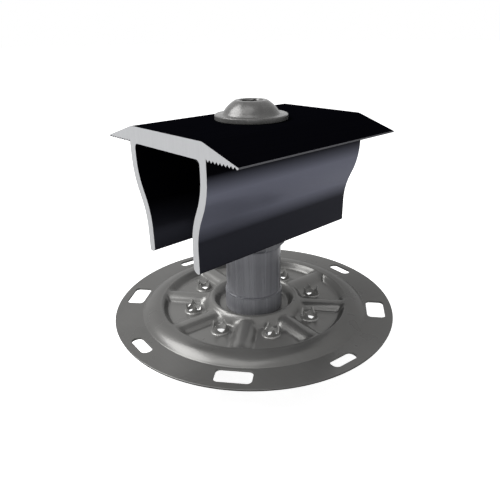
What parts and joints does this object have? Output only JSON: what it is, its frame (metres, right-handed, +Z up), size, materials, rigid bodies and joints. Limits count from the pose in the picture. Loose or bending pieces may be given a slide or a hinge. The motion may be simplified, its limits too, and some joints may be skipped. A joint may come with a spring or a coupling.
{
  "type": "solar mid clamp",
  "caption": "Solar panel mid clamp: toothed-wing clamp head on a flanged button screw, hex standoff with threaded stud, and a pressed ribbed bonding disc.",
  "frame": {"origin": "on the disc's underside, at the screw and stud axis", "axes": "+Z up along the screw, away from the roof; the clamp head's extrusion runs along Y, its wings point along +X and -X"},
  "size_m": [0.0762, 0.0762, 0.0696],
  "materials": {
    "pressed_stainless": "bright pressed sheet",
    "turned_stainless": "bright turned",
    "black_anodised": "black anodised, bare cut ends"
  },
  "bodies": {
    "standoff": {"standoff": "turned_stainless"},
    "disc": {"bonding_disc": "pressed_stainless"},
    "head": {"clamp_head": "black_anodised"},
    "screw": {"clamp_screw": "turned_stainless"}
  },
  "joints": [
    {"name": "disc_swivel", "type": "hinge", "parent": "standoff", "child": "disc", "pos_m": [0, 0, 0], "axis": [0, 0, 1], "continuous": true},
    {"name": "head_lift", "type": "slide", "parent": "standoff", "child": "head", "axis": [0, 0, 1], "range_m": [-0.015, 0]},
    {"name": "screw_turn", "type": "hinge", "parent": "head", "child": "screw", "pos_m": [0, 0, 0.05], "axis": [0, 0, 1], "range_deg": [-4320, 0]}
  ],
  "couplings": [
    {"joint": "screw_turn", "follows": "head_lift", "rad_per_m": 5026.5}
  ]
}
